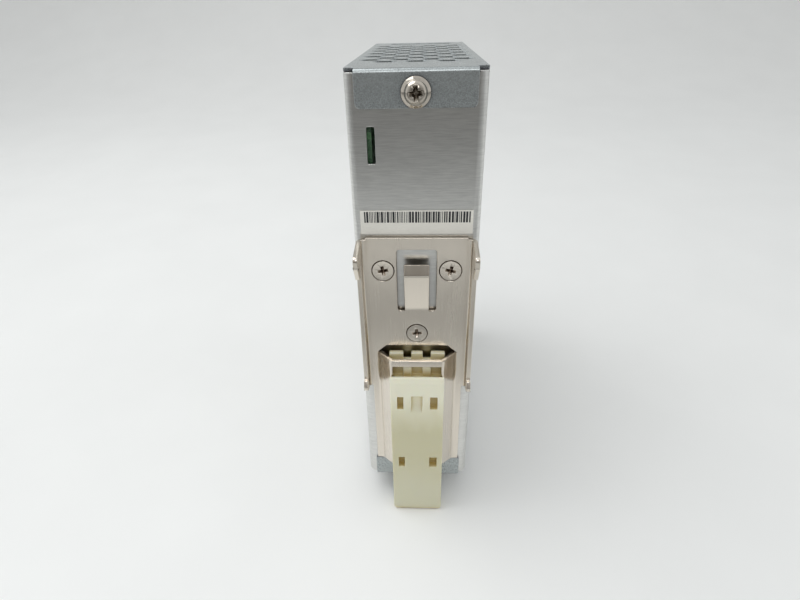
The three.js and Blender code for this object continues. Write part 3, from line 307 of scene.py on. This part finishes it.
def moulded(tree, colour, roughness, texture):
    """Moulded plastic with the fine texture of its tool, texture mm across."""
    grain = patches(tree, (texture,) * 3, 3.0, 0.6)
    tone = patches(tree, (9, 9, 9))
    return {
        "Base Color": mottled(tree, tone, colour, 0.1, 0.1),
        "Roughness": node(tree, "MapRange", (grain, 0.3, 0.7, roughness - 0.07, roughness + 0.07)),
        "Normal": node(tree, "Bump", {"Height": grain, "Strength": 1.0, "Distance": texture * 0.06 * MM}),
    }


def label_paper(tree, colour):
    """Coated label paper with a faint fibre and slightly uneven white."""
    fibre = patches(tree, (0.9, 0.3, 0.22), 4.0, 0.65)
    cloud = patches(tree, (6, 6, 3))
    tone = mottled(tree, fibre, colour, 0.05, 0.04)
    aged = node(tree, "MapRange", (cloud, 0.35, 0.7, 0.0, 0.3))
    return {
        "Base Color": node(tree, "Mix", {0: aged, 6: tone, 7: shifted(colour, -0.1)}, data_type="RGBA"),
        "Roughness": node(tree, "MapRange", (fibre, 0.3, 0.7, 0.5, 0.66)),
        "Normal": node(tree, "Bump", {"Height": fibre, "Strength": 1.0, "Distance": 0.004 * MM}),
    }


def printed_ink(tree, colour):
    """Thermal print: nearly black, slightly thinner in places."""
    density = patches(tree, (0.5, 0.5, 0.3), 3.0)
    thin = node(tree, "MapRange", (density, 0.35, 0.75, 0.0, 0.35))
    return {
        "Base Color": node(tree, "Mix", {0: thin, 6: colour, 7: "#5a5a5e"}, data_type="RGBA"),
        "Roughness": node(tree, "MapRange", (density, 0.3, 0.7, 0.42, 0.6)),
    }


def circuit_board(tree, colour, copper):
    """Green solder mask over copper tracks, with the tracks a lighter green."""
    place = node(tree, "TexCoord").outputs["Object"]
    scaled = node(tree, "Mapping", {"Vector": place, "Scale": [1 / (pitch * MM) for pitch in (3.4, 3.4, 2.3)]})
    tracks = node(tree, "TexVoronoi", {"Vector": scaled, "Scale": 1.0}, distance="CHEBYCHEV")
    edge = node(tree, "MapRange", (tracks.outputs["Distance"], 0.30, 0.36, 0.0, 1.0))
    weave = patches(tree, (0.3, 0.3, 0.3), 3.0)
    tone = node(tree, "Mix", {0: edge, 6: copper, 7: colour}, data_type="RGBA")
    fibres = node(tree, "MapRange", (weave, 0.35, 0.7, 0.0, 0.4))
    return {
        "Base Color": node(tree, "Mix", {0: fibres, 6: tone, 7: "#8fb088"}, data_type="RGBA"),
        "Roughness": node(tree, "MapRange", (weave, 0.3, 0.7, 0.28, 0.42)),
        "Normal": node(tree, "Bump", {"Height": edge, "Strength": 1.0, "Distance": 0.05 * MM}),
    }


def thin_film(tree, colour):
    """Insulating film: milky, glossy and a little wavy."""
    waves = patches(tree, (16, 16, 16))
    tones = {0: waves, 6: shifted(colour, -0.08), 7: shifted(colour, 0.05)}
    return {
        "Base Color": node(tree, "Mix", tones, data_type="RGBA"),
        "Roughness": node(tree, "MapRange", (waves, 0.3, 0.7, 0.18, 0.3)),
        "Transmission Weight": 0.35,
        "Normal": node(tree, "Bump", {"Height": waves, "Strength": 1.0, "Distance": 0.3 * MM}),
    }


def clear_lens(tree, colour):
    """Tinted epoxy lens with soft flow marks."""
    flow = patches(tree, (0.8, 0.8, 0.8))
    tones = {0: flow, 6: shifted(colour, -0.1), 7: shifted(colour, 0.15)}
    return {
        "Base Color": node(tree, "Mix", tones, data_type="RGBA"),
        "Roughness": node(tree, "MapRange", (flow, 0.3, 0.7, 0.08, 0.2)),
        "Transmission Weight": 0.6,
    }


def wound_tape(tree, colour, edge):
    """Layers of polyester tape, with the laps showing as thin darker lines."""
    place = node(tree, "TexCoord").outputs["Object"]
    links = {"Vector": place, "Scale": 1 / (5.5 * MM), "Distortion": 1.2}
    wave = node(tree, "TexWave", links, bands_direction="X").outputs["Fac"]
    laps = node(tree, "MapRange", (wave, 0.0, 0.12, 1.0, 0.0))
    cloud = patches(tree, (4, 4, 4), 3.0)
    tone = node(tree, "Mix", {0: cloud, 6: shifted(colour, -0.12), 7: shifted(colour, 0.1)}, data_type="RGBA")
    return {
        "Base Color": node(tree, "Mix", {0: laps, 6: tone, 7: edge}, data_type="RGBA"),
        "Roughness": node(tree, "MapRange", (cloud, 0.3, 0.7, 0.2, 0.36)),
        "Normal": node(tree, "Bump", {"Height": laps, "Strength": 1.0, "Distance": -0.05 * MM}),
    }


def studio_paper(tree, colour):
    """Matt white table surface with a very faint mottle."""
    mottle = patches(tree, (45, 45, 45), 3.0)
    fine = patches(tree, (0.8, 0.8, 0.8))
    return {
        "Base Color": mottled(tree, mottle, colour, 0.012, 0.012),
        "Roughness": node(tree, "MapRange", (fine, 0.3, 0.7, 0.55, 0.7)),
        "Specular IOR Level": 0.3,
    }


def painted_camera_shadow(tree, colour):
    """Matt card with two darker bands across it, a painted shadow of the camera on the table and a painted darkening
    toward the viewer, which give the metal its soft gradients.
    """
    place = node(tree, "TexCoord").outputs["Object"]
    depth = node(tree, "SeparateXYZ", (place,)).outputs["Y"]
    tone = colour
    # Painted shadow: darker just in front of the unit where the camera's shadow falls, lighter again, then darker
    # toward the viewer.
    for start, end, darker in ((-0.04, -0.12, 0.62), (-0.15, -0.25, 0.12), (-0.3, -0.62, 0.84)):
        share = node(tree, "MapRange", (depth, start, end, 0.0, 1.0))
        tone = node(tree, "Mix", {0: share, 6: tone, 7: shifted(colour, -darker)}, data_type="RGBA")
    return {"Base Color": tone, "Roughness": 0.62, "Specular IOR Level": 0.3}


# ------------------------------------------------------------------ work on the packed solids


def dress(name, look, edge=0.0, segments=2, angle=32, miter="MITER_ARC"):
    """Gives a packed solid its material, and eases its edges by edge mm."""
    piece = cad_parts[name]
    piece.data.materials.clear()
    piece.data.materials.append(look)
    piece.data.polygons.foreach_set("use_smooth", [True] * len(piece.data.polygons))
    if "custom_normal" in piece.data.attributes:
        piece.data.attributes.remove(piece.data.attributes["custom_normal"])
    weld = piece.modifiers.new("weld", "WELD")
    weld.merge_threshold = 0.002 * MM
    if edge:
        bevel = piece.modifiers.new("eased_edges", "BEVEL")
        bevel.width = edge * MM
        bevel.segments = segments
        bevel.limit_method = "ANGLE"
        bevel.angle_limit = math.radians(angle)
        bevel.use_clamp_overlap = False
        bevel.miter_outer = miter
        bevel.harden_normals = False
    weighted = piece.modifiers.new("flat_shading", "WEIGHTED_NORMAL")
    weighted.mode = "FACE_AREA"
    weighted.weight = 100
    weighted.keep_sharp = False


def new_object(name, made, look):
    """Turns a bmesh into an object in the scene, and frees it."""
    data = bpy.data.meshes.new(name)
    made.to_mesh(data)
    made.free()
    data.materials.append(look)
    piece = bpy.data.objects.new(name, data)
    bpy.context.scene.collection.objects.link(piece)
    return piece


def mesh_piece(name, made, look, body):
    """A new piece from a bmesh, riding on a body and painted from a material slot."""
    piece = new_object(name, made, look)
    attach(piece, body)
    return piece


def swept(points, radius):
    """A bmesh tube of round wire along points, closed at both ends."""
    made = bmesh.new()
    rings = []
    side = None
    for index, point in enumerate(points):
        ahead = points[min(index + 1, len(points) - 1)] - points[max(index - 1, 0)]
        along = ahead.normalized()
        if side is None:
            side = along.orthogonal().normalized()
        side = (side - along * side.dot(along)).normalized()
        other = along.cross(side)
        ring = []
        for step in range(WIRE_SIDES):
            turn = 2 * math.pi * step / WIRE_SIDES
            ring.append(made.verts.new(point + (side * math.cos(turn) + other * math.sin(turn)) * radius))
        rings.append(ring)
    for before, after in zip(rings, rings[1:]):
        for step in range(WIRE_SIDES):
            following = (step + 1) % WIRE_SIDES
            made.faces.new((before[step], before[following], after[following], after[step]))
    made.faces.new(list(reversed(rings[0])))
    made.faces.new(rings[-1])
    for face in made.faces:
        face.smooth = True
    return made


# ------------------------------------------------------------------ settings


class CaseSettings(bpy.types.PropertyGroup):
    """Colours and edges of the sheet metal case."""

    aluminium: FloatVectorProperty(
        name="Aluminium", description="Brushed housing", subtype="COLOR", size=3, default=linear("#dcdcd9")
    )
    zinc: FloatVectorProperty(
        name="Zinc", description="Galvanised caps", subtype="COLOR", size=3, default=linear("#aab0b1")
    )
    edge: FloatProperty(
        name="Sheet edge",
        description="Rounding of cut sheet edges",
        subtype="DISTANCE",
        unit="LENGTH",
        default=0.14 * MM,
    )


class BracketSettings(bpy.types.PropertyGroup):
    """Colours of the rail bracket and its screws."""

    nickel: FloatVectorProperty(
        name="Nickel", description="Plated bracket", subtype="COLOR", size=3, default=linear("#e2dace")
    )
    # The recess colour is painted shade.
    recess_shade_colour: FloatVectorProperty(
        name="Recess",
        description="Film in the screws' recesses",
        subtype="COLOR",
        size=3,
        default=linear("#5a3d1e"),
    )
    edge: FloatProperty(
        name="Bracket edge",
        description="Rounding of the bracket's edges",
        subtype="DISTANCE",
        unit="LENGTH",
        default=0.16 * MM,
    )


class SliderSettings(bpy.types.PropertyGroup):
    """Colour of the nylon slider and size of its spring."""

    # The top colour is painted lighter, for the light that falls on the catch.
    top: FloatVectorProperty(
        name="Nylon, top", description="Colour at the catch", subtype="COLOR", size=3, default=linear("#f7f5df")
    )
    middle: FloatVectorProperty(
        name="Nylon, pull", description="Colour half way down", subtype="COLOR", size=3, default=linear("#d5d1b0")
    )
    bottom: FloatVectorProperty(
        name="Nylon, foot", description="Colour at the foot", subtype="COLOR", size=3, default=linear("#dad8be")
    )
    turns: IntProperty(name="Spring turns", description="Turns in the spring", default=13, min=4, max=30)
    wire: FloatProperty(
        name="Spring wire", description="Radius of the wire", subtype="DISTANCE", unit="LENGTH", default=0.17 * MM
    )


class LabelSettings(bpy.types.PropertyGroup):
    """The sticker above the bracket."""

    paper: FloatVectorProperty(
        name="Paper", description="Label paper", subtype="COLOR", size=3, default=linear("#eeece4")
    )
    ink: FloatVectorProperty(
        name="Ink", description="Printed bars", subtype="COLOR", size=3, default=linear("#202126")
    )
    bars: IntProperty(name="Bars", description="Number of bars", default=50, min=8, max=90)
    seed: IntProperty(name="Seed", description="Pattern of the bars", default=7)


class StageSettings(bpy.types.PropertyGroup):
    """Table and light."""

    table: FloatVectorProperty(
        name="Table", description="Table surface", subtype="COLOR", size=3, default=linear("#eeefee")
    )
    key: FloatProperty(name="Key light", description="Power of the soft key light", default=1.43, subtype="POWER")
    fill: FloatProperty(name="Fill", description="Strength of the surroundings", default=1.04, min=0.0)


# ------------------------------------------------------------------ operators


class PSU_OT_case(bpy.types.Operator):
    """Finishes the housing, the caps, the front panel and the cap screws"""

    bl_idname = "psu.case"
    bl_label = "Case"

    def execute(self, context):
        settings = context.scene.psu_case
        edge = settings.edge / MM
        sheet = material("Aluminium_sheet_brushed", brushed_aluminium, tuple(settings.aluminium))
        zinc = material("Steel_sheet_galvanised", galvanised_steel, tuple(settings.zinc))
        dress("housing", sheet, edge)
        for name in ("top_cap", "bottom_cap"):
            dress(name, zinc, edge)
        dress("front_panel", zinc, FINE_EDGE, miter="MITER_SHARP")
        # The second colour is the painted shade in the recesses.
        screw = material("Steel_screw_zinc_plated", plated_screw, linear("#b3aca2"), linear("#46371f"))
        for name in ("top_cap_screw", "bottom_cap_screw"):
            dress(name, screw, 0.09, 2, 28)
        return {"FINISHED"}


class PSU_OT_bracket(bpy.types.Operator):
    """Finishes the rail bracket and its countersunk screws"""

    bl_idname = "psu.bracket"
    bl_label = "Rail bracket"

    def execute(self, context):
        settings = context.scene.psu_bracket
        plated = material("Steel_pressing_nickel_plated", nickel_plate, tuple(settings.nickel))
        dress("rail_bracket", plated, settings.edge / MM, miter="MITER_SHARP")
        screw = material("Steel_screw_nickel_plated", plated_screw, tuple(settings.nickel), tuple(settings.recess_shade_colour))
        for name in ("bracket_screw_left", "bracket_screw_right", "bracket_screw_lower"):
            dress(name, screw, 0.07, 2, 28)
        return {"FINISHED"}


class PSU_OT_slider(bpy.types.Operator):
    """Finishes the nylon slider and winds its spring"""

    bl_idname = "psu.slider"
    bl_label = "Slider and spring"

    def execute(self, context):
        settings = context.scene.psu_slider
        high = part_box("slider")[1]
        levels = [high.z - depth * MM for depth in NYLON_LEVELS]
        colours = [tuple(colour) for colour in (settings.top, settings.middle, settings.bottom)]
        nylon = material("Nylon_natural_moulded", natural_nylon, *colours, levels)
        dress("slider", nylon, SLIDER_EDGE, 3, miter="MITER_SHARP")
        self.wind_spring(settings)
        return {"FINISHED"}

    def wind_spring(self, settings):
        """Round wire, with the last turn at each end closed and flat."""
        low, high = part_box("slider_spring")
        centre = (low + high) / 2
        wire = settings.wire
        radius = (high.x - low.x) / 2 - wire
        start, end = low.z + wire, high.z - wire
        steps = settings.turns * STEPS_PER_TURN
        closed = 1.0
        free = settings.turns - 2 * closed
        flat = 2.1 * wire
        points = []
        for step in range(steps + 1):
            turn = step / steps * settings.turns
            rise = min(max((turn - closed) / free, 0.0), 1.0)
            height = start + min(turn, closed) * flat + rise * (end - start - 2 * flat)
            height += max(turn - closed - free, 0.0) * flat
            angle = turn * 2 * math.pi
            points.append(Vector((centre.x + radius * math.cos(angle), centre.y + radius * math.sin(angle), height)))
        steel = material("Steel_wire_drawn", plain_metal, linear("#9b9da0"), 0.26, 0.2)
        spring = mesh_piece("slider_spring_wire", swept(points, wire), steel, "case")
        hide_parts("slider_spring")
        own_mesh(spring)


class PSU_OT_label(bpy.types.Operator):
    """Finishes the sticker and prints its bars"""

    bl_idname = "psu.label"
    bl_label = "Label"

    def execute(self, context):
        settings = context.scene.psu_label
        dress("barcode_label", material("Paper_label_coated", label_paper, tuple(settings.paper)))
        low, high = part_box("barcode_label")
        ink = material("Ink_thermal_print", printed_ink, tuple(settings.ink))
        chance = random.Random(settings.seed)
        widths = [(chance.choice((1, 1, 2, 3)), chance.choice((1, 1, 1.5))) for _ in range(settings.bars)]
        left, right = low.x + BARS_LEFT, high.x - BARS_RIGHT
        unit = (right - left) / sum(bar + gap for bar, gap in widths)
        top, bottom = high.z - BARS_TOP, low.z + BARS_BOTTOM
        made = bmesh.new()
        x = left
        for bar, gap in widths:
            end = x + bar * unit
            corners = [(x, bottom), (end, bottom), (end, top), (x, top)]
            face = made.faces.new([made.verts.new((a, low.y - INK_FRONT, b)) for a, b in corners])
            solid = bmesh.ops.extrude_face_region(made, geom=[face])
            raised = [v for v in solid["geom"] if isinstance(v, bmesh.types.BMVert)]
            bmesh.ops.translate(made, verts=raised, vec=(0, INK_THICK, 0))
            x += (bar + gap) * unit
        bmesh.ops.recalc_face_normals(made, faces=made.faces)
        mesh_piece("barcode_bars", made, ink, "case")
        return {"FINISHED"}


class PSU_OT_board(bpy.types.Operator):
    """Finishes the circuit board, its film, its posts and the components"""

    bl_idname = "psu.board"
    bl_label = "Circuit board"

    def execute(self, context):
        green = material("Board_glass_epoxy_masked", circuit_board, linear("#1f4a30"), linear("#3f6f45"))
        dress("main_board", green, 0.05)
        dress("insulating_film", material("Film_insulating", thin_film, linear("#e6e3cf")))
        black = material("Epoxy_black_moulded", moulded, linear("#1b1c1d"), 0.42, 0.15)
        aluminium = material("Aluminium_sheet_stamped", plain_metal, linear("#bfc1c2"), 0.36, 0.5)
        sleeve = material("Sleeve_shrunk_pvc", moulded, linear("#1d2430"), 0.3, 0.6)
        copper = material("Copper_wire_enamelled", plain_metal, linear("#b0622f"), 0.28, 0.35)
        tape = material("Tape_polyester_wound", wound_tape, linear("#dcb52c"), linear("#8a6a10"))
        post = material("Nylon_posts_moulded", moulded, linear("#dedcc8"), 0.42, 0.3)
        looks = {
            "board_post_lower": (post, 0.2),
            "board_post_upper": (post, 0.2),
            "transformer_core": (material("Ferrite_sintered", moulded, linear("#3c3d40"), 0.62, 0.2), 0.3),
            "transformer_winding": (tape, 0.3),
            "x_capacitor": (material("Box_polyester_moulded", moulded, linear("#d8ab2a"), 0.36, 0.2), 0.5),
            "fuse": (material("Ceramic_glazed", moulded, linear("#e6e1d3"), 0.25, 0.3), 0.3),
            "thermistor": (material("Disc_dip_coated", moulded, linear("#2c4a35"), 0.5, 0.4), 0.8),
            "line_choke": (copper, 0.3),
            "bridge_rectifier": (black, 0.3),
            "primary_heat_sink": (aluminium, 0.15),
            "switching_transistor": (black, 0.15),
            "bulk_capacitor": (sleeve, 0.8),
            "optocoupler": (black, 0.15),
            "output_choke": (copper, 0.3),
            "secondary_heat_sink": (aluminium, 0.15),
            "output_rectifier": (black, 0.15),
            "output_capacitor_1": (sleeve, 0.2),
            "output_capacitor_2": (sleeve, 0.2),
            "led": (material("Lens_epoxy_tinted", clear_lens, linear("#55b565")), 0.1),
            "trim_pot_body": (material("Polyester_blue_moulded", moulded, linear("#2a62a8"), 0.38, 0.2), 0.25),
            "trim_pot_rotor": (material("Nylon_white_moulded", moulded, linear("#e9e7dd"), 0.4, 0.2), 0.12),
        }
        for name, (look, edge) in looks.items():
            dress(name, look, edge)
        return {"FINISHED"}


class PSU_OT_terminals(bpy.types.Operator):
    """Finishes the terminal blocks with their contacts, clamps and screws"""

    bl_idname = "psu.terminals"
    bl_label = "Terminal blocks"

    def execute(self, context):
        black = material("Polyamide_black_moulded", moulded, linear("#222324"), 0.46, 0.25)
        brass = material("Brass_tinned", plain_metal, linear("#cfccc0"), 0.3, 0.4)
        # The second colour is the painted shade in the recesses.
        screw = material("Steel_screw_zinc_clear", plated_screw, linear("#d3d2cc"), linear("#4b4a46"))
        for side, poles in (("output", 4), ("input", 3)):
            dress(f"{side}_terminal_block", black, 0.12)
            for pole in range(1, poles + 1):
                dress(f"{side}_contact_{pole}", brass, 0.05)
                dress(f"{side}_clamp_{pole}", brass, 0.08)
                dress(f"{side}_screw_{pole}", screw, 0.06, 2, 28)
        return {"FINISHED"}


class PSU_OT_stage(bpy.types.Operator):
    """Adds the table, the lights and the camera"""

    bl_idname = "psu.stage"
    bl_label = "Studio"

    def execute(self, context):
        settings = context.scene.psu_stage
        slope, height = self.resting_plane()
        self.add_table(settings, slope, height)
        self.add_shadow_card(settings, slope, height)
        self.add_lights(context, settings, slope)
        self.add_camera(context)
        context.scene.view_settings.view_transform = "Standard"
        return {"FINISHED"}

    def resting_plane(self):
        """The unit leans back on its slider's foot and on the case's front edge."""
        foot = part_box("slider")[0].z
        near = [v.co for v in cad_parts["slider"].data.vertices if v.co.z < foot + 0.05 * MM]
        foot_y = max(co.y for co in near)
        case_low, case_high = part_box("bottom_cap")
        slope = (case_low.z - foot) / (case_high.y - foot_y)
        return slope, foot - slope * foot_y - 0.02 * MM

    def add_table(self, settings, slope, height):
        """A table top that curves up into a backdrop behind the unit."""
        profile = [(TABLE_NEAR, 0.0), (BACKDROP_START, 0.0)]
        for step in range(1, BACKDROP_STEPS + 1):
            turn = BACKDROP_TURN * step / BACKDROP_STEPS
            rise = BACKDROP_RADIUS * (1 - math.cos(turn))
            profile.append((BACKDROP_START + BACKDROP_RADIUS * math.sin(turn), rise))
        last = profile[-1]
        profile.append((last[0] + 0.12, last[1] + 1.4))
        made = bmesh.new()
        rows = []
        for y, z in profile:
            point = (y, height + slope * y + z)
            rows.append([made.verts.new((x, *point)) for x in TABLE_SIDES])
        for before, after in zip(rows, rows[1:]):
            face = made.faces.new((before[0], before[1], after[1], after[0]))
            face.smooth = True
        paper = material("Paper_table_matt", studio_paper, tuple(settings.table))
        new_object("studio_table", made, paper)

    def add_shadow_card(self, settings, slope, height):
        """A card on the table in front of the unit, painted with the camera's shadow, which only reflections see."""
        made = bmesh.new()
        near, far = (
            [made.verts.new((x, y, height + slope * y + CARD_LIFT)) for x in TABLE_SIDES]
            for y in (TABLE_NEAR, CARD_FAR)
        )
        made.faces.new((near[0], near[1], far[1], far[0]))
        card = new_object("camera_shadow_card", made, material("Card_painted_camera_shadow", painted_camera_shadow, tuple(settings.table)))
        card.visible_camera = False
        card.visible_diffuse = False
        card.visible_shadow = False

    def add_lights(self, context, settings, slope):
        """A wide soft key from the upper left, and even surroundings that are darker behind the viewer."""
        tilt = Matrix.Rotation(math.atan(slope), 4, "X")
        for name, place, size, power in (
            ("key", (-0.28, 0.12, 0.55), 0.45, settings.key),
            ("front", (0.02, -0.42, 0.5), 0.25, settings.key * 0.38),
        ):
            light = bpy.data.lights.new(name, "AREA")
            light.energy = power
            light.size = size
            lamp = bpy.data.objects.new(name, light)
            aim = Vector((0, 0.04, 0)) - Vector(place)
            turn = aim.to_track_quat("-Z", "Y").to_matrix().to_4x4()
            lamp.matrix_world = tilt @ Matrix.Translation(place) @ turn
            context.scene.collection.objects.link(lamp)
        world = bpy.data.worlds.new("Studio_surroundings")
        world.use_nodes = True
        context.scene.world = world
        tree = world.node_tree
        tree.nodes.clear()
        toward = node(tree, "SeparateXYZ", (node(tree, "TexCoord").outputs["Generated"],))
        viewer = node(tree, "MapRange", (toward.outputs["Y"], -0.95, -0.1, 0.0, 1.0))
        colour = node(tree, "Mix", {0: viewer, 6: "#7d7b78", 7: "#f4f6f7"}, data_type="RGBA")
        surround = node(tree, "Background", {"Color": colour, "Strength": settings.fill})
        tree.links.new(surround.outputs[0], node(tree, "OutputWorld").inputs["Surface"])

    def add_camera(self, context):
        """A wide lens close to the rail side, looking down at the unit."""
        data = bpy.data.cameras.new("viewer")
        data.lens = LENS_MM
        data.sensor_width = SENSOR_MM
        data.clip_start = 0.005
        data.clip_end = 20.0
        pitch, yaw, roll = (math.radians(a) for a in (VIEWER_PITCH, VIEWER_YAW, VIEWER_ROLL))
        ahead = Vector((math.sin(yaw) * math.cos(pitch), math.cos(yaw) * math.cos(pitch), -math.sin(pitch)))
        level = Vector((math.cos(yaw), -math.sin(yaw), 0))
        above = level.cross(ahead)
        right = level * math.cos(roll) + above * math.sin(roll)
        up = above * math.cos(roll) - level * math.sin(roll)
        camera = bpy.data.objects.new("viewer", data)
        turn = Matrix((right, up, -ahead)).transposed().to_4x4()
        camera.matrix_world = Matrix.Translation(Vector(VIEWER_PLACE_MM) * MM) @ turn
        context.scene.collection.objects.link(camera)
        context.scene.camera = camera


# ------------------------------------------------------------------ sidebar panel

SETTINGS = {
    "psu_case": CaseSettings,
    "psu_bracket": BracketSettings,
    "psu_slider": SliderSettings,
    "psu_label": LabelSettings,
    "psu_stage": StageSettings,
}
OPERATORS = (
    PSU_OT_case,
    PSU_OT_bracket,
    PSU_OT_slider,
    PSU_OT_label,
    PSU_OT_board,
    PSU_OT_terminals,
    PSU_OT_stage,
)


class PSU_PT_parts(bpy.types.Panel):
    """Lists the settings and the operators of the power supply"""

    bl_label = "Power supply"
    bl_idname = "PSU_PT_parts"
    bl_space_type = "VIEW_3D"
    bl_region_type = "UI"
    bl_category = "Power supply"

    def draw(self, context):
        for name, group in SETTINGS.items():
            column = self.layout.box().column()
            column.label(text=group.__doc__)
            for key in group.__annotations__:
                column.prop(getattr(context.scene, name), key)
        for operator in OPERATORS:
            self.layout.operator(operator.bl_idname)


def register():
    """Adds the settings, the operators and the panel."""
    for group in (*SETTINGS.values(), *OPERATORS, PSU_PT_parts):
        bpy.utils.register_class(group)
    for name, group in SETTINGS.items():
        setattr(bpy.types.Scene, name, PointerProperty(type=group))


def unregister():
    """Takes them away again."""
    for name in SETTINGS:
        delattr(bpy.types.Scene, name)
    for group in reversed((*SETTINGS.values(), *OPERATORS, PSU_PT_parts)):
        bpy.utils.unregister_class(group)


def main():
    """Builds every piece in order."""
    register()
    for operator in OPERATORS:
        group, name = operator.bl_idname.split(".")
        getattr(getattr(bpy.ops, group), name)()


if __name__ == "__main__":
    main()
